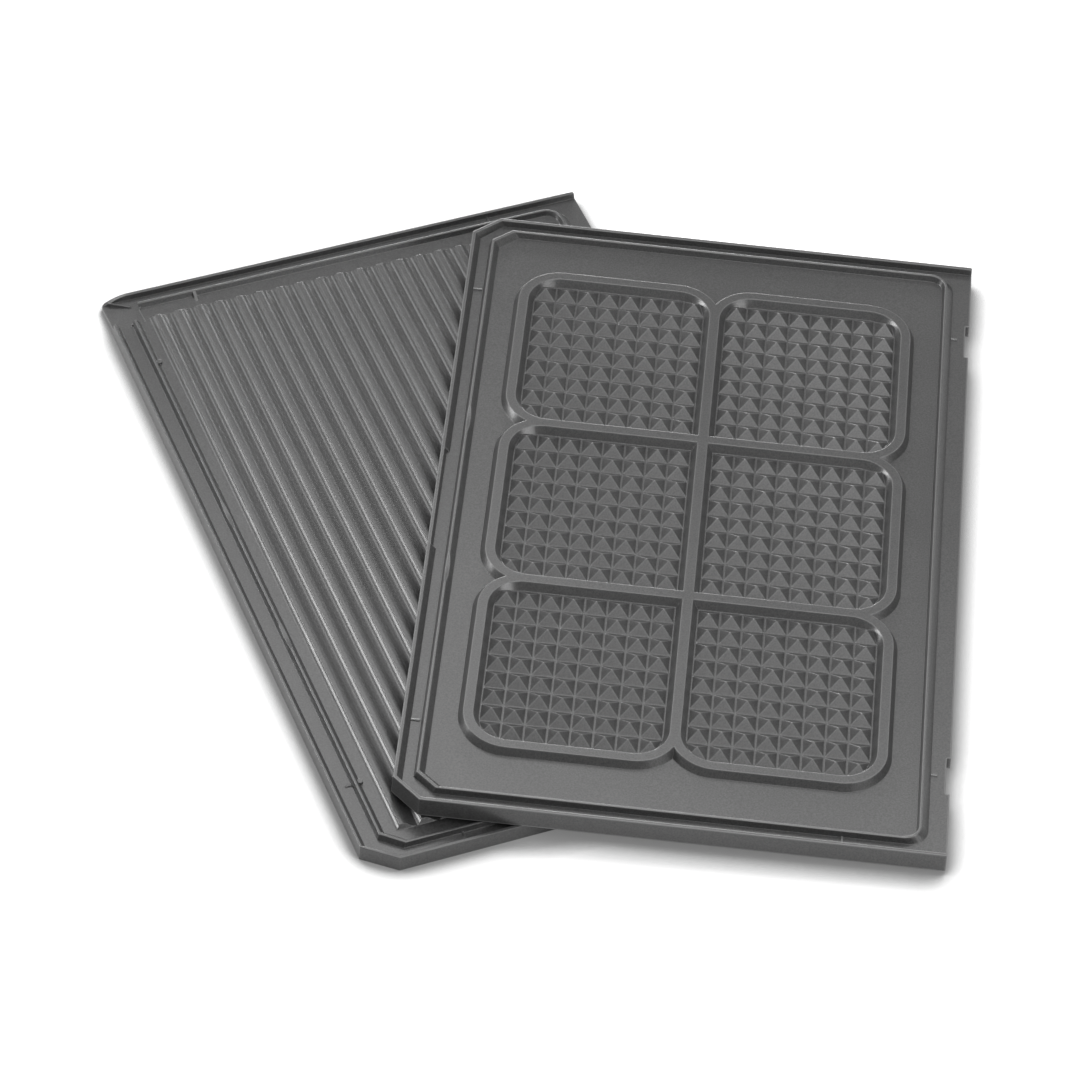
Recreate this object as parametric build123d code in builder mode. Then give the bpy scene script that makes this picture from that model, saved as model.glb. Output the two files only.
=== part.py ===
from build123d import *

import math
import os

# Two interchangeable cooking plates of a contact grill, each one thin aluminium casting.
# The ribbed plate lies flat. The waffle plate lies turned across it and leans on it.
# Millimetres, Z up. The origin is under the centre of the ribbed plate's outline, where it
# stands. X runs across that plate towards its plain edge and Y runs along it.

# Outline of both castings, measured at the top of the lip
plate_width = 237.7
plate_length = 373.0
corner_cut_along = 11.4
waffle_corner_cut = 12.5
ribbed_corner_cut = 13.8
outline_round = 0.8
skirt_draft = 0.4

# Heights above the underside of each plate
waffle_floor = 6.6
waffle_rim_rise = 2.9
ribbed_floor = 5.0
ribbed_rim_rise = 2.4
floor_thickness = 2.7
shelf_drop = 0.3

# Lip along the left side and both ends
lip_crest = 1.5
lip_end_flank = 0.5
waffle_side_flank = 2.5
ribbed_side_crest = 1.0
ribbed_side_flank = 1.9
slim_lip_flank = 1.1
slim_lip_length = 62.0
slim_lip_centre = -3.0

# Ridge that frames the cooking area: from the plate's edges to the middle of its crest
waffle_ridge_from_left = 10.25
ribbed_ridge_from_left = 10.55
ridge_from_plain = 11.95
ridge_from_end = 8.1
ridge_crest = 1.0
ridge_corner_cut = 9.0
ridge_corner_cut_along = 8.0
ridge_round = 7.5
waffle_left_flanks = (1.1, 2.5)
ribbed_left_flanks = (1.0, 1.9)
right_flanks = (3.15, 0.85)
end_flanks = (0.5, 1.1)

# Shallow saddles in the left side of the ridge, from the plate's middle
waffle_saddles = (-48.0, 48.0)
ribbed_saddles = (-47.0, 32.0)
saddle_length = 18.0
saddle_depth = 0.8

# Notches in the plain edge, where the grill's catches hold the plate
notch_from_end = 48.5
notch_length = 21.0
notch_depth = 1.7

# Short raised marks across the shelf
mark_width = 0.9
mark_height = 0.5
side_mark_from_end = 48.0
end_mark_from_side = 44.85
lip_mark_run = 4.0
ridge_mark_run = 2.8

# Hollow underside, with a flat land that presses on the heater
skirt_wall = 2.6
hollow_draft = 0.6
land_inset = 16.0
land_round = 12.0
land_step = 0.4

# Waffle pockets: two across and three along, each a field of pyramids
pyramid_pitch = 10.0
pyramid_gap = 0.8
pyramid_height = 3.6
pockets_across = 2
pockets_along = 3
pocket_margin = 0.4
pocket_slope = 2.5
pocket_round = 13.0
inner_corner_round = 1.5
bead_plateau = 4.4
bead_slope = 2.1
pyramid_root = 0.6
ground_beside_bead = 10.0
ground_past_bead = 20.0

# Ribs of the ribbed plate
rib_pitch = 10.0
rib_height = 2.1
rib_crest = 1.5
rib_fall_run = 6.25
rib_steepest = 0.4
rib_hollow = 0.2
rib_end_slope = 1.4
rib_root = 0.6
rib_from_left_ridge = 10.45
rib_room_at_plain = 12.0
rib_from_end_ridge = 8.9

# Drain spout at the far left corner of the ribbed plate, measured from that corner
spout_nose = ((1.6, 0.0), (0.5, 0.5), (0.0, 1.6))
spout_tip = 3.0
spout_reach = 19.0
spout_gap_across = 6.3
spout_gap_along = 11.8
spout_lip_fall = 14.0
spout_lip_knee = (6.0, 1.25)
guide_width = 0.9
guide_rise = 0.6
guide_outer = (2.6, 1.5)
guide_inner = (11.9, 7.5)

# Small bosses on the inner foot of the ribbed plate's ridge, and nubs at the ends of its gap
boss_radius = 1.3
boss_height = 1.3
nub_radius = 0.6
nub_height = 0.9
buttress_from_ridge = 32.3
buttress_width = 1.6
buttress_reach = 4.5

# How the waffle plate lies on the ribbed one, in plan
waffle_turn = -26.1
waffle_centre = (87.9, -45.9)
seat_clearance = 0.3

# Worked out from the sizes above
half_width = plate_width / 2
half_length = plate_length / 2
ridge_half_length = half_length - ridge_from_end
plain_ridge = half_width - ridge_from_plain
rim_top = ribbed_floor + ribbed_rim_rise
waffle_hollow = waffle_floor - floor_thickness
notch_place = half_length - notch_from_end
side_mark_place = half_length - side_mark_from_end
end_mark_place = half_width - end_mark_from_side

# As many pyramids as the cooking area has room for
pocket_middle = (plain_ridge - half_width + waffle_ridge_from_left) / 2
bead_reach = pocket_slope + bead_plateau + bead_slope
bead_room_across = (
    2 * (plain_ridge - pocket_middle)
    - ridge_crest
    - 2 * (waffle_left_flanks[1] + ground_beside_bead + bead_reach)
)
bead_room_along = (
    2 * ridge_half_length - ridge_crest - 2 * (end_flanks[1] + ground_past_bead + bead_reach)
)
steps_across = int(bead_room_across / pyramid_pitch)
steps_along = int(bead_room_along / pyramid_pitch)
pyramids_across = (steps_across - pockets_across + 1) // pockets_across
pyramids_along = (steps_along - pockets_along + 1) // pockets_along
pyramid_base = pyramid_pitch - pyramid_gap
pocket_pitch_across = (pyramids_across + 1) * pyramid_pitch
pocket_pitch_along = (pyramids_along + 1) * pyramid_pitch
pocket_floor_width = pyramids_across * pyramid_pitch + pocket_margin
pocket_floor_length = pyramids_along * pyramid_pitch + pocket_margin

# As many ribs as fit between the ridges of the ribbed plate
first_rib = -half_width + ribbed_ridge_from_left + rib_from_left_ridge
rib_count = int((plain_ridge - rib_room_at_plain - first_rib) / rib_pitch) + 1
last_rib = first_rib + (rib_count - 1) * rib_pitch
half_rib_length = ridge_half_length - rib_from_end_ridge


def drawn_in(cut, inset):
    """A corner cut's size once its outline is drawn in evenly: about 45 degrees is assumed."""
    return cut - inset * (2 - math.sqrt(2))


def cut_corner_outline(level, left, right, end, cut, cut_along, right_round=0.0, nose=None):
    """A long rectangle with its left corners cut off and its right ones square or rounded.

    A nose gives the far left corner other points, each as its distances from the two sides.
    """
    far_corner = nose or ((cut, 0), (0, cut_along))
    with BuildSketch(level) as outline:
        with BuildLine():
            Polyline(
                (right, -end),
                (right, end),
                *[(left + across, end - along) for across, along in far_corner],
                (left, -end + cut_along),
                (left + cut, -end),
                close=True,
            )
        make_face()
        if right_round:
            fillet(outline.vertices().group_by(Axis.X)[-1], right_round)
    return outline.sketch.face()


def plate_outline(level, inset, cut, nose=None):
    """The casting's own outline, drawn in by an inset, or let out by a negative one."""
    return cut_corner_outline(
        level,
        -half_width + inset,
        half_width - inset,
        half_length - inset,
        drawn_in(cut, inset),
        drawn_in(corner_cut_along, inset),
        outline_round,
        nose,
    )


def lip_outline(level, side_inset, end_inset, cut):
    """Inner outline of the lip, which runs out past the plain edge, where there is none."""
    return cut_corner_outline(
        level,
        -half_width + side_inset,
        half_width + side_inset,
        half_length - end_inset,
        drawn_in(cut, side_inset),
        drawn_in(corner_cut_along, end_inset),
    )


def ridge_outline(level, from_left, left_out, right_out, end_out, nose):
    """Outline of the frame ridge, let out from the centre line of its crest on each side."""
    return cut_corner_outline(
        level,
        -half_width + from_left - left_out,
        plain_ridge + right_out,
        ridge_half_length + end_out,
        ridge_corner_cut,
        ridge_corner_cut_along,
        ridge_round + end_out,
        nose,
    )


def cast_plate(
    place,
    floor,
    rim_rise,
    cut,
    side_crest,
    side_flank,
    ridge_from_left,
    left_flanks,
    saddles,
    nose=None,
    ridge_nose=None,
):
    """What both castings share: skirt, lip, shelf, frame ridge, notches and hollow underside."""
    shelf = floor - shelf_drop
    top = floor + rim_rise
    half_crest = ridge_crest / 2
    hollow = floor - floor_thickness

    with BuildPart() as plate:
        # The skirt widens a little towards the table, as a casting does to leave its mould.
        loft(
            [
                plate_outline(place, -skirt_draft, cut, nose),
                plate_outline(place.offset(top), 0, cut, nose),
            ],
            ruled=True,
        )
        # The shelf inside the lip
        loft(
            [
                lip_outline(
                    place.offset(shelf), side_crest + side_flank, lip_crest + lip_end_flank, cut
                ),
                lip_outline(place.offset(top), side_crest, lip_crest, cut),
            ],
            ruled=True,
            mode=Mode.SUBTRACT,
        )
        # The frame ridge, filled at first and then opened down to the cooking floor
        loft(
            [
                ridge_outline(
                    place.offset(shelf),
                    ridge_from_left,
                    half_crest + left_flanks[0],
                    half_crest + right_flanks[0],
                    half_crest + end_flanks[0],
                    ridge_nose,
                ),
                ridge_outline(
                    place.offset(top), ridge_from_left, half_crest, half_crest, half_crest, ridge_nose
                ),
            ],
            ruled=True,
        )
        loft(
            [
                ridge_outline(
                    place.offset(floor),
                    ridge_from_left,
                    -half_crest - left_flanks[1],
                    -half_crest - right_flanks[1],
                    -half_crest - end_flanks[1],
                    ridge_nose,
                ),
                ridge_outline(
                    place.offset(top),
                    ridge_from_left,
                    -half_crest,
                    -half_crest,
                    -half_crest,
                    ridge_nose,
                ),
            ],
            ruled=True,
            mode=Mode.SUBTRACT,
        )
        # Two saddles in the left side of the ridge
        saddle_radius = (saddle_length**2 / 4 + saddle_depth**2) / (2 * saddle_depth)
        saddle_side = Plane(
            place.from_local_coords(Vector(-half_width + ridge_from_left, 0, 0)),
            x_dir=place.y_dir,
            z_dir=place.x_dir,
        )
        with BuildSketch(saddle_side):
            with Locations(*[(along, top - saddle_depth + saddle_radius) for along in saddles]):
                Circle(saddle_radius)
        extrude(amount=left_flanks[1] + ridge_crest, both=True, mode=Mode.SUBTRACT)
        # The notches in the plain edge
        with BuildSketch(place):
            with Locations((half_width, -notch_place), (half_width, notch_place)):
                Rectangle(2 * notch_depth, notch_length)
        extrude(amount=top, mode=Mode.SUBTRACT)
        # The hollow underside
        loft(
            [
                plate_outline(place, skirt_wall - skirt_draft, cut),
                plate_outline(place.offset(hollow), skirt_wall + hollow_draft, cut),
            ],
            ruled=True,
            mode=Mode.SUBTRACT,
        )
        # The relief round the land
        with BuildSketch(place.offset(hollow)):
            add(plate_outline(Plane.XY, skirt_wall + hollow_draft, cut))
            RectangleRounded(
                plate_width - 2 * land_inset,
                plate_length - 2 * land_inset,
                land_round,
                mode=Mode.SUBTRACT,
            )
        extrude(amount=land_step, mode=Mode.SUBTRACT)
    return plate.part


def slim_stretch(place):
    """What is cut from the waffle plate's left lip along its slimmer stretch."""
    shelf = waffle_floor - shelf_drop
    top = waffle_floor + waffle_rim_rise
    side = Plane(
        place.from_local_coords(Vector(-half_width, slim_lip_centre, 0)),
        x_dir=place.x_dir,
        z_dir=-place.y_dir,
    )
    with BuildPart() as stretch:
        with BuildSketch(side):
            with BuildLine():
                Polyline(
                    (lip_crest, top),
                    (lip_crest + slim_lip_flank, shelf),
                    (lip_crest + waffle_side_flank, shelf),
                    (lip_crest + waffle_side_flank, top),
                    close=True,
                )
            make_face()
        extrude(amount=slim_lip_length / 2, both=True)
    return stretch.part


def shelf_marks(place, floor, side_marks, end_marks):
    """Short raised lines across the shelf.

    A side mark is where it starts and ends across the plate and its place along it. An end mark
    is its place across the plate and which end it is at.
    """
    end_foot = half_length - ridge_half_length - ridge_crest / 2 - end_flanks[0]
    end_run = end_foot - lip_crest - lip_end_flank
    end_middle = half_length - end_foot + end_run / 2
    with BuildPart() as marks:
        with BuildSketch(place.offset(floor - shelf_drop)):
            for start, end, along in side_marks:
                with Locations(((start + end) / 2, along)):
                    Rectangle(end - start, mark_width)
            with Locations(*[(x, side * end_middle) for x, side in end_marks]):
                Rectangle(mark_width, end_run)
        extrude(amount=mark_height)
    return marks.part


def leaning_place():
    """Plane of the waffle plate's underside, which leans on three points of the ribbed plate."""
    turn = math.radians(waffle_turn)
    across = Vector(math.cos(turn), math.sin(turn), 0)
    along = Vector(-math.sin(turn), math.cos(turn), 0)
    centre = Vector(*waffle_centre, 0)
    seat = rim_top + seat_clearance
    # Its far skirt crosses the right side of the frame ridge.
    far_skirt = centre + along * half_length
    ridge_x = plain_ridge + ridge_crest / 2
    on_ridge = far_skirt + across * ((ridge_x - far_skirt.X) / across.X)
    # Its near skirt crosses the near lip.
    near_skirt = centre - along * half_length
    on_lip = near_skirt + across * ((lip_crest - half_length - near_skirt.Y) / across.Y)
    # The hollow of its underside takes in the corner where that lip ends.
    lip_end = Vector(half_width, -half_length, 0)
    rise = Vector(0, 0, seat)
    first = on_ridge + rise
    second = on_lip + rise
    third = lip_end + rise - Vector(0, 0, waffle_hollow)
    normal = (third - second).cross(first - second).normalized()
    tilt_x = -normal.X / normal.Z
    tilt_y = -normal.Y / normal.Z
    height = first.Z + tilt_x * (centre.X - first.X) + tilt_y * (centre.Y - first.Y)
    return Plane(centre + Vector(0, 0, height), x_dir=across, z_dir=normal)


def pocket_outline(level, column, row, grow, corner_round):
    """One waffle pocket's outline: square where four pockets meet, rounded everywhere else."""
    x = pocket_middle + column * pocket_pitch_across / 2
    y = row * pocket_pitch_along
    with BuildSketch(level) as outline:
        with Locations((x, y)):
            Rectangle(pocket_floor_width + 2 * grow, pocket_floor_length + 2 * grow)
        crossings = [
            Vector(pocket_middle, -pocket_pitch_along / 2),
            Vector(pocket_middle, pocket_pitch_along / 2),
        ]
        near = min(pocket_floor_width, pocket_floor_length) / 2

        def meets(corner):
            return any((Vector(corner) - crossing).length < near for crossing in crossings)

        inner = outline.vertices().filter_by(meets)
        outer = outline.vertices().filter_by(lambda corner: not meets(corner))
        fillet(outer, corner_round)
        if grow <= pocket_slope:
            fillet(inner, inner_corner_round)
    return outline.sketch.face()


def sawtooth(level, axis_dir, run_dir, counts, reach):
    """Parallel ridges of triangular section, whose rows cross with another set as pyramids."""
    side = Plane(level.origin, x_dir=axis_dir, z_dir=run_dir)
    half_base = pyramid_base / 2
    rise = 1 if side.y_dir.dot(level.z_dir) > 0 else -1
    points = [(-reach, -rise * pyramid_root), (-reach, 0)]
    for place in counts:
        points += [
            (place - half_base, 0),
            (place, rise * pyramid_height),
            (place + half_base, 0),
        ]
    points += [(reach, 0), (reach, -rise * pyramid_root)]
    return side, points


def tooth_places(groups, per_group, group_pitch):
    """Distances of all the pyramid rows from the middle of the pockets, bars left free."""
    first_group = -(groups - 1) / 2 * group_pitch
    first_tooth = -(per_group - 1) / 2 * pyramid_pitch
    return [
        first_group + group * group_pitch + first_tooth + tooth * pyramid_pitch
        for group in range(groups)
        for tooth in range(per_group)
    ]


def pyramid_field(place):
    """All the pyramids of the six pockets, as one sheet: two crossing sets of ridges meet in them."""
    level = Plane(
        place.from_local_coords(Vector(pocket_middle, 0, waffle_floor)),
        x_dir=place.x_dir,
        z_dir=place.z_dir,
    )
    reach_across = (pockets_across * pocket_pitch_across) / 2
    reach_along = (pockets_along * pocket_pitch_along) / 2
    with BuildPart() as pyramids:
        side, points = sawtooth(
            level,
            level.x_dir,
            -level.y_dir,
            tooth_places(pockets_across, pyramids_across, pocket_pitch_across),
            reach_across,
        )
        with BuildSketch(side):
            with BuildLine():
                Polyline(*points, close=True)
            make_face()
        extrude(amount=reach_along, both=True)
        side, points = sawtooth(
            level,
            level.y_dir,
            level.x_dir,
            tooth_places(pockets_along, pyramids_along, pocket_pitch_along),
            reach_along,
        )
        with BuildSketch(side):
            with BuildLine():
                Polyline(*points, close=True)
            make_face()
        extrude(amount=reach_across, both=True, mode=Mode.INTERSECT)
    return pyramids.part


def ribs(place):
    """The ribs as one sheet: each rises steeply on its left and falls in a long wave on its right."""
    half_crest = rib_crest / 2
    side = Plane(
        place.from_local_coords(Vector(0, 0, ribbed_floor)),
        x_dir=place.x_dir,
        z_dir=-place.y_dir,
    )
    rise_run = rib_pitch - rib_crest - rib_fall_run
    # The outline runs from each rib's left foot over its crest to the low point on its right.
    with BuildPart() as field:
        with BuildSketch(side):
            with BuildLine():
                for rib in range(rib_count):
                    left_crest = first_rib - half_crest + rib * rib_pitch
                    right_crest = left_crest + rib_crest
                    foot = left_crest - rise_run
                    low = right_crest + rib_fall_run
                    hollow_middle = (
                        foot + (1 + rib_hollow) / 2 * rise_run,
                        (1 - rib_hollow) / 2 * rib_height,
                    )
                    steepest = (
                        right_crest + rib_steepest * rib_fall_run,
                        (1 - rib_steepest) * rib_height,
                    )
                    ThreePointArc((foot, 0), hollow_middle, (left_crest, rib_height))
                    Line((left_crest, rib_height), (right_crest, rib_height))
                    TangentArc((right_crest, rib_height), steepest, tangent=(1, 0))
                    TangentArc((low, 0), steepest, tangent=(-1, 0))
                begin = first_rib - half_crest - rise_run
                finish = last_rib + half_crest + rib_fall_run
                Polyline((finish, 0), (finish, -rib_root), (begin, -rib_root), (begin, 0))
            make_face()
        extrude(amount=half_rib_length, both=True)
        # Both ends of every rib slope down to the floor.
        end_side = Plane(side.origin, x_dir=place.y_dir, z_dir=place.x_dir)
        with BuildSketch(end_side):
            with BuildLine():
                Polyline(
                    (half_rib_length, 0),
                    (half_rib_length, rib_height + rib_root),
                    (half_rib_length - rib_end_slope, rib_height + rib_root),
                    (half_rib_length - rib_end_slope, rib_height),
                    close=True,
                )
            make_face()
            mirror(about=Plane.YZ)
        extrude(amount=rib_count * rib_pitch, both=True, mode=Mode.SUBTRACT)
    return field.part


def far_left(place, corner, height):
    """A point of the ribbed plate given by its distances from the two sides of the far left corner."""
    across, along = corner
    return place.from_local_coords(Vector(-half_width + across, half_length - along, height))


def spout_cutter(place):
    """What is cut from the far left corner of the ribbed plate, to open it as a spout."""
    shelf = ribbed_floor - shelf_drop
    over = 2 * ribbed_rim_rise
    ridge_left = ribbed_ridge_from_left - ridge_crest / 2 - ribbed_left_flanks[0]
    ridge_far = ridge_from_end - ridge_crest / 2 - end_flanks[0]
    corner_side = skirt_draft + ribbed_side_crest
    with BuildPart() as cutter:
        # The gap in the ridge, and the end of the left lip
        with BuildSketch(Plane(far_left(place, (0, 0), shelf), x_dir=place.x_dir, z_dir=place.z_dir)):
            with Locations((ridge_left, -ridge_far)):
                Rectangle(spout_gap_across, spout_gap_along, align=(Align.MIN, Align.MAX))
            with Locations((ribbed_side_crest + ribbed_side_flank, -lip_crest)):
                Rectangle(
                    2 * ribbed_side_crest + ribbed_side_flank + skirt_draft,
                    spout_reach - lip_crest,
                    align=(Align.MAX, Align.MAX),
                )
        extrude(amount=over)
        # The far lip keeps its width up to the tip.
        lip_end = Plane(
            far_left(place, (-corner_side, 0), 0), x_dir=place.y_dir, z_dir=place.x_dir
        )
        with BuildSketch(lip_end):
            with BuildLine():
                Polyline(
                    (-lip_crest, rim_top + over),
                    (-lip_crest, rim_top),
                    (-lip_crest - lip_end_flank, shelf),
                    (-ridge_far, shelf),
                    (-ridge_far, rim_top + over),
                    close=True,
                )
            make_face()
        extrude(amount=corner_side + spout_reach)
        # It sinks there in an arc.
        lip_side = Plane(
            far_left(place, (0, -lip_crest), 0), x_dir=place.x_dir, z_dir=-place.y_dir
        )
        with BuildSketch(lip_side):
            with BuildLine():
                ThreePointArc(
                    (0, spout_tip),
                    (spout_lip_knee[0], rim_top - spout_lip_knee[1]),
                    (spout_lip_fall, rim_top),
                )
                Polyline(
                    (spout_lip_fall, rim_top),
                    (spout_lip_fall, rim_top + over),
                    (-corner_side, rim_top + over),
                    (-corner_side, spout_tip),
                    (0, spout_tip),
                )
            make_face()
        extrude(amount=2 * lip_crest + lip_end_flank)
    return cutter.part


def spout_fall(place):
    """The wedge over the spout's floor, which falls from the shelf to the tip of the corner."""
    shelf = ribbed_floor - shelf_drop
    far = far_left(place, (0, spout_reach), shelf)
    inner = far_left(place, guide_inner, shelf)
    tip = far_left(place, (0, 0), spout_tip)
    fall = Plane(tip, x_dir=inner - far, z_dir=(inner - far).cross(tip - far).normalized())
    with BuildPart() as wedge:
        with BuildSketch(Plane(far_left(place, (0, 0), 0), x_dir=place.x_dir, z_dir=place.z_dir)):
            with BuildLine():
                Polyline(
                    (-skirt_draft - ribbed_side_crest, -lip_crest),
                    (-skirt_draft - ribbed_side_crest, -spout_reach),
                    (0, -spout_reach),
                    (guide_inner[0], -guide_inner[1]),
                    (guide_outer[0], -guide_outer[1]),
                    close=True,
                )
            make_face()
        extrude(amount=rim_top + ribbed_rim_rise)
        split(bisect_by=fall, keep=Keep.TOP)
    return wedge.part


def spout_guide(place):
    """The low rib that leads from the shelf to the spout's tip."""
    with BuildPart() as guide:
        with BuildSketch(
            Plane(far_left(place, (0, 0), spout_tip), x_dir=place.x_dir, z_dir=place.z_dir)
        ):
            with BuildLine():
                Line((guide_inner[0], -guide_inner[1]), (guide_outer[0], -guide_outer[1]))
            trace(line_width=guide_width)
        extrude(amount=ribbed_floor - shelf_drop + guide_rise - spout_tip)
    return guide.part


def ridge_bosses(place):
    """Small round bosses and nubs at the foot of the ridge, and a buttress across its far side."""
    left_foot = -half_width + ribbed_ridge_from_left + ridge_crest / 2 + ribbed_left_flanks[1]
    left_crest = -half_width + ribbed_ridge_from_left
    far_crest = ridge_half_length + ridge_crest / 2
    gap_side = left_crest - ridge_crest / 2 - ribbed_left_flanks[0] + spout_gap_across
    gap_end = ridge_half_length + ridge_crest / 2 + end_flanks[0] - spout_gap_along
    with BuildPart() as bosses:
        with BuildSketch(place.offset(ribbed_floor - shelf_drop)):
            with Locations((left_foot, -side_mark_place), (left_foot, side_mark_place)):
                Circle(boss_radius)
        extrude(amount=shelf_drop + boss_height)
        with BuildSketch(place.offset(ribbed_floor - shelf_drop)):
            with Locations(
                (gap_side + nub_radius, ridge_half_length - ridge_crest / 2 - end_flanks[1]),
                (left_crest - ridge_crest / 2 - ribbed_left_flanks[0], gap_end - nub_radius),
            ):
                Circle(nub_radius)
        extrude(amount=nub_height)
        side = Plane(
            place.from_local_coords(
                Vector(left_crest + buttress_from_ridge, far_crest, ribbed_floor)
            ),
            x_dir=-place.y_dir,
            z_dir=-place.x_dir,
        )
        with BuildSketch(side):
            with BuildLine():
                Polyline(
                    (0, -shelf_drop),
                    (0, ribbed_rim_rise),
                    (ridge_crest, ribbed_rim_rise),
                    (ridge_crest + buttress_reach, 0),
                    (ridge_crest + buttress_reach, -shelf_drop),
                    close=True,
                )
            make_face()
        extrude(amount=buttress_width / 2, both=True)
    return bosses.part


underside = Plane.XY
with BuildPart() as ribbed_plate:
    add(
        cast_plate(
            underside,
            ribbed_floor,
            ribbed_rim_rise,
            ribbed_corner_cut,
            ribbed_side_crest,
            ribbed_side_flank,
            ribbed_ridge_from_left,
            ribbed_left_flanks,
            ribbed_saddles,
            spout_nose,
            ((0, 0),),
        )
    )
    add(spout_cutter(underside), mode=Mode.SUBTRACT)
    add(spout_fall(underside), mode=Mode.SUBTRACT)
    add(spout_guide(underside))
    add(ridge_bosses(underside))
    ridge_foot = -half_width + ribbed_ridge_from_left - ridge_crest / 2 - ribbed_left_flanks[0]
    ribbed_side_marks = [(ridge_foot - ridge_mark_run, ridge_foot, -side_mark_place)]
    ribbed_end_marks = [(-end_mark_place, -1), (end_mark_place, 1)]
    add(shelf_marks(underside, ribbed_floor, ribbed_side_marks, ribbed_end_marks))
    add(ribs(underside))
ribbed_plate.part.label = "ribbed_plate"

leaning = leaning_place()
with BuildPart() as waffle_plate:
    add(
        cast_plate(
            leaning,
            waffle_floor,
            waffle_rim_rise,
            waffle_corner_cut,
            lip_crest,
            waffle_side_flank,
            waffle_ridge_from_left,
            waffle_left_flanks,
            waffle_saddles,
        )
    )
    add(slim_stretch(leaning), mode=Mode.SUBTRACT)
    lip_foot = -half_width + lip_crest + waffle_side_flank
    plain_foot = plain_ridge + ridge_crest / 2 + right_flanks[0]
    waffle_side_marks = []
    for along in (-side_mark_place, side_mark_place):
        waffle_side_marks.append((lip_foot, lip_foot + lip_mark_run, along))
        waffle_side_marks.append((plain_foot, plain_foot + ridge_mark_run, along))
    add(shelf_marks(leaning, waffle_floor, waffle_side_marks, [(end_mark_place, -1)]))
    columns = (-1, 1)
    rows = (-1, 0, 1)
    bead_top = waffle_floor + pyramid_height
    for column in columns:
        for row in rows:
            loft(
                [
                    pocket_outline(
                        leaning.offset(waffle_floor),
                        column,
                        row,
                        pocket_slope + bead_plateau + bead_slope,
                        pocket_round + pocket_slope + bead_plateau + bead_slope,
                    ),
                    pocket_outline(
                        leaning.offset(bead_top),
                        column,
                        row,
                        pocket_slope + bead_plateau,
                        pocket_round + pocket_slope + bead_plateau,
                    ),
                ],
                ruled=True,
            )
    for column in columns:
        for row in rows:
            loft(
                [
                    pocket_outline(
                        leaning.offset(waffle_floor), column, row, 0, pocket_round
                    ),
                    pocket_outline(
                        leaning.offset(bead_top),
                        column,
                        row,
                        pocket_slope,
                        pocket_round + pocket_slope,
                    ),
                ],
                ruled=True,
                mode=Mode.SUBTRACT,
            )
    add(pyramid_field(leaning))
waffle_plate.part.label = "waffle_plate"

os.makedirs("parts", exist_ok=True)
export_step(ribbed_plate.part, "parts/ribbed_plate.step")
export_step(waffle_plate.part, "parts/waffle_plate.step")
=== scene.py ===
import math

import bpy
from mathutils import Matrix, Vector

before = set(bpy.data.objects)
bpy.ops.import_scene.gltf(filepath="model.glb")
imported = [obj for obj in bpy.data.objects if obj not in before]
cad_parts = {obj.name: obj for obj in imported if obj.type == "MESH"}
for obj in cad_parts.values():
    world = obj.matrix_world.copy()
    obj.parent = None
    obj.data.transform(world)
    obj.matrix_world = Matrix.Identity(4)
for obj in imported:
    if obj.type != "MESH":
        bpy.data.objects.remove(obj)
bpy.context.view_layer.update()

# Camera, fitted to the photograph: metres in the frame, the picture taken as 1080 x 1080
picture_side = 1080
focal_pixels = 5076.13
sensor_width = 36.0
camera_place = Vector((-0.612856, -1.505491, 1.628245))
camera_aim = Vector((0.021844, -0.022348, 0.0))
camera_roll = math.radians(-2.9914)
nearest_seen = 0.05
furthest_seen = 50.0

# Even light from all round, and the height of the studio ceiling that the overhead softboxes hang from
sky_level = 0.32
ceiling = 0.9

# Coating of the castings: grey levels, and how many times lighter their outer edges are painted, partly as
# rubbed wear and partly as a painted highlight
ribbed_grey = 0.048
waffle_grey = 0.049
ribbed_wear_and_highlight_gain = 1.3
waffle_wear_and_highlight_gain = 3.2
coating_specular = 1.0

# Noise in the coating: features to the metre, and ramps of (noise, level) that turn it into tone and gloss
grain_scale = 1300.0
cloud_scale = 9.0
scuff_scale = 60.0
grain_tones = ((0.3, 0.6), (0.7, 1.5))
cloud_tones = ((0.3, 0.9), (0.7, 1.08))
scuff_roughness = ((0.3, 0.28), (0.7, 0.31))
grain_depth = 0.00006
grain_strength = 0.3

# Edges of the castings, in metres: how far they are rounded to the light, and how far in from them the
# lighter colour reaches, partly rubbed wear and partly a painted highlight
edge_radius = 0.0005
wear_and_highlight_reach = 0.0008
edge_wear_and_highlight = ((0.72, 1.0), (0.97, 0.0))

# Floor: its own colour, how much it is lifted towards white, and the reach of the shadow at the plates' feet
floor_half = 6.0
floor_grey = 0.82
floor_lift = 0.8
foot_shadow_reach = 0.017
foot_shadow = ((0.66, 0.2), (0.97, 0.83), (1.0, 1.0))


def grey_colour(level):
    return (level, level, level, 1)


def add_node(tree, kind, **values):
    """A new node with its properties and unlinked inputs set by name."""
    made = tree.nodes.new(kind)
    for name, value in values.items():
        if name in made.inputs:
            made.inputs[name].default_value = value
        else:
            setattr(made, name, value)
    return made


def link(tree, source, target):
    tree.links.new(source, target)


def noise_node(tree, where, scale, detail, roughness):
    """Noise over a place: how coarse it is, how many finer layers it has and how much they count."""
    noise = add_node(tree, "ShaderNodeTexNoise", Scale=scale, Detail=detail, Roughness=roughness)
    link(tree, where, noise.inputs["Vector"])
    return noise.outputs["Fac"]


def ramp_node(tree, source, stops):
    """A colour ramp of grey levels over a value: stops are (place, level)."""
    ramp = tree.nodes.new("ShaderNodeValToRGB")
    marks = ramp.color_ramp.elements
    while len(marks) < len(stops):
        marks.new(0.5)
    for mark, (place, level) in zip(marks, stops):
        mark.position = place
        mark.color = grey_colour(level)
    link(tree, source, ramp.inputs["Fac"])
    return ramp.outputs["Color"]


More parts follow.
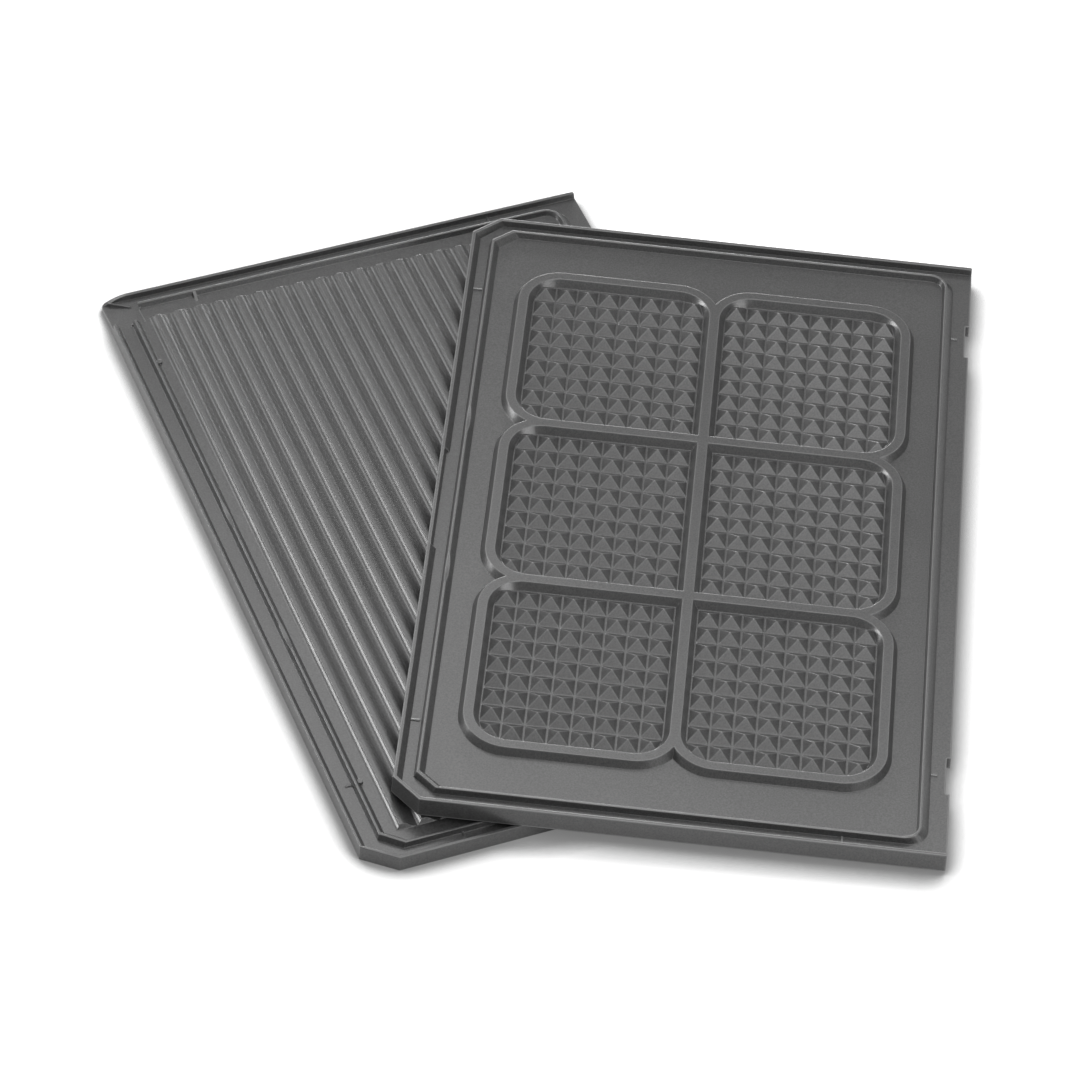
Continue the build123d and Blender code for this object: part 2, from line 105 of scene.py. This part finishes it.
def by_camera_ray(tree, to_plates, to_camera, output):
    """What the camera sees, and what lights and is reflected in the plates, on one output."""
    path = add_node(tree, "ShaderNodeLightPath")
    seen = add_node(tree, "ShaderNodeMixShader")
    link(tree, path.outputs["Is Camera Ray"], seen.inputs[0])
    link(tree, to_plates, seen.inputs[1])
    link(tree, to_camera, seen.inputs[2])
    link(tree, seen.outputs[0], output.inputs["Surface"])


def coated_casting(name, grey, wear_and_highlight_gain):
    """Satin non-stick coating on cast aluminium: fine grain, soft clouds, scuffs, and outer edges painted
    lighter, partly as wear and partly as a painted highlight.
    """
    material = bpy.data.materials.new(name)
    material.use_nodes = True
    tree = material.node_tree
    shader = tree.nodes["Principled BSDF"]
    where = add_node(tree, "ShaderNodeTexCoord").outputs["Object"]

    grain = noise_node(tree, where, grain_scale, 2.0, 0.6)
    cloud = noise_node(tree, where, cloud_scale, 4.0, 0.55)
    scuff = noise_node(tree, where, scuff_scale, 4.0, 0.55)

    # Colour: dark pigment with lighter flakes, a little uneven over the plate
    coat_tones = [(place, grey * level) for place, level in grain_tones]
    toned = add_node(tree, "ShaderNodeMixRGB", blend_type="MULTIPLY", Fac=1.0)
    link(tree, ramp_node(tree, grain, coat_tones), toned.inputs["Color1"])
    link(tree, ramp_node(tree, cloud, cloud_tones), toned.inputs["Color2"])

    # Edges: all rounded to the light, and the outer ones painted lighter, partly as rubbed wear and partly
    # as a painted highlight
    soft = add_node(tree, "ShaderNodeBevel", samples=6, Radius=edge_radius)
    thin = add_node(tree, "ShaderNodeAmbientOcclusion", samples=8, Distance=wear_and_highlight_reach)
    thin.inside = True
    thin.only_local = True
    worn_and_lit = add_node(tree, "ShaderNodeMixRGB", blend_type="MIX")
    worn_and_lit.inputs["Color2"].default_value = grey_colour(grey * wear_and_highlight_gain)
    link(tree, ramp_node(tree, thin.outputs["AO"], edge_wear_and_highlight), worn_and_lit.inputs["Fac"])
    link(tree, toned.outputs["Color"], worn_and_lit.inputs["Color1"])
    link(tree, worn_and_lit.outputs["Color"], shader.inputs["Base Color"])

    # Gloss: satin, duller where it is scuffed
    link(tree, ramp_node(tree, scuff, scuff_roughness), shader.inputs["Roughness"])
    shader.inputs["Specular IOR Level"].default_value = coating_specular

    # Relief: the grain stands on the rounded edges
    bump = add_node(tree, "ShaderNodeBump", Strength=grain_strength, Distance=grain_depth)
    link(tree, grain, bump.inputs["Height"])
    link(tree, soft.outputs["Normal"], bump.inputs["Normal"])
    link(tree, bump.outputs["Normal"], shader.inputs["Normal"])
    return material


def dress(node_name, material):
    """Gives a CAD node its material; its mesh and shading stay as the CAD has them."""
    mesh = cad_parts[node_name].data
    mesh.materials.clear()
    mesh.materials.append(material)


dress("ribbed_plate", coated_casting("ribbed_coating", ribbed_grey, ribbed_wear_and_highlight_gain))
dress("waffle_plate", coated_casting("waffle_coating", waffle_grey, waffle_wear_and_highlight_gain))


def floor_material():
    """Lifted to white for the camera, with the shadow that gathers at the plates' feet."""
    material = bpy.data.materials.new("floor_white")
    material.use_nodes = True
    tree = material.node_tree
    tree.nodes.clear()
    output = add_node(tree, "ShaderNodeOutputMaterial")

    near = add_node(tree, "ShaderNodeAmbientOcclusion", samples=16, Distance=foot_shadow_reach)
    shade = ramp_node(tree, near.outputs["AO"], foot_shadow)
    colour = add_node(tree, "ShaderNodeMixRGB", blend_type="MULTIPLY", Fac=1.0)
    colour.inputs["Color1"].default_value = grey_colour(floor_grey)
    link(tree, shade, colour.inputs["Color2"])
    paint = add_node(tree, "ShaderNodeBsdfDiffuse")
    link(tree, colour.outputs["Color"], paint.inputs["Color"])
    lift = add_node(tree, "ShaderNodeEmission", Strength=floor_lift)
    link(tree, shade, lift.inputs["Color"])
    total = add_node(tree, "ShaderNodeAddShader")
    link(tree, paint.outputs[0], total.inputs[0])
    link(tree, lift.outputs[0], total.inputs[1])

    plain = add_node(tree, "ShaderNodeBsdfDiffuse", Color=grey_colour(floor_grey))
    by_camera_ray(tree, plain.outputs[0], total.outputs[0], output)
    return material


# Floor: one square under the plates
floor_mesh = bpy.data.meshes.new("floor")
floor_corners = [
    (-floor_half, -floor_half, 0),
    (floor_half, -floor_half, 0),
    (floor_half, floor_half, 0),
    (-floor_half, floor_half, 0),
]
floor_mesh.from_pydata(floor_corners, [], [(0, 1, 2, 3)])
floor_mesh.materials.append(floor_material())
floor = bpy.data.objects.new("floor", floor_mesh)
bpy.context.collection.objects.link(floor)


def studio_air():
    """The world: even and dim to the plates, white to the camera."""
    world = bpy.data.worlds.new("studio")
    bpy.context.scene.world = world
    world.use_nodes = True
    tree = world.node_tree
    tree.nodes.clear()
    output = add_node(tree, "ShaderNodeOutputWorld")
    light = add_node(tree, "ShaderNodeBackground", Strength=sky_level, Color=grey_colour(1))
    white = add_node(tree, "ShaderNodeBackground", Strength=1.0, Color=grey_colour(1))
    by_camera_ray(tree, light.outputs[0], white.outputs[0], output)


studio_air()


def softbox(name, place, facing, width, height, level):
    """A rectangular lamp of an even brightness level that faces a direction; it isn't seen itself."""
    lamp = bpy.data.lights.new(name, "AREA")
    lamp.shape = "RECTANGLE"
    lamp.size = width
    lamp.size_y = height
    lamp.energy = math.pi * width * height * level
    made = bpy.data.objects.new(name, lamp)
    made.location = place
    made.rotation_mode = "QUATERNION"
    made.rotation_quaternion = Vector(facing).to_track_quat("-Z", "Y")
    made.visible_camera = False
    bpy.context.collection.objects.link(made)


# Softboxes: name, place, facing, width, height and level
down = (0, 0, -1)
softbox("strip_overhead", (0.2, -0.1, ceiling), down, 0.4, 2.0, 1.9)
softbox("near_overhead", (0.0, -0.7, ceiling), down, 0.8, 0.8, 1.05)
softbox("left_overhead", (-0.4, 0.9, ceiling), down, 0.8, 0.8, 2.7)
softbox("right_overhead", (0.8, 0.3, ceiling), down, 0.8, 0.4, 1.7)
softbox("far_right_overhead", (1.0, 1.1, ceiling), down, 0.4, 0.4, 1.0)
softbox("left_side", (-1.0, 0.6, 0.3), (1, 0, 0), 0.6, 0.5, 9.0)
softbox("far_side", (0.6, 1.4, 0.25), (0, -1, 0), 0.8, 0.4, 9.6)
softbox("near_side", (0.6, -0.9, 0.35), (0, 1, 0), 0.8, 0.2, 5.7)


def photo_camera():
    """The photograph's camera, turned about its own line of sight by its roll."""
    data = bpy.data.cameras.new("camera")
    data.sensor_width = sensor_width
    data.lens = focal_pixels / picture_side * sensor_width
    data.clip_start = nearest_seen
    data.clip_end = furthest_seen
    camera = bpy.data.objects.new("camera", data)
    bpy.context.collection.objects.link(camera)
    forward = (camera_aim - camera_place).normalized()
    level_right = forward.cross(Vector((0, 0, 1))).normalized()
    level_up = level_right.cross(forward)
    right = math.cos(camera_roll) * level_right - math.sin(camera_roll) * level_up
    up = math.sin(camera_roll) * level_right + math.cos(camera_roll) * level_up
    turn = Matrix((right, up, -forward)).transposed()
    camera.matrix_world = Matrix.Translation(camera_place) @ turn.to_4x4()
    return camera


bpy.context.scene.camera = photo_camera()
bpy.context.scene.view_settings.view_transform = "Standard"
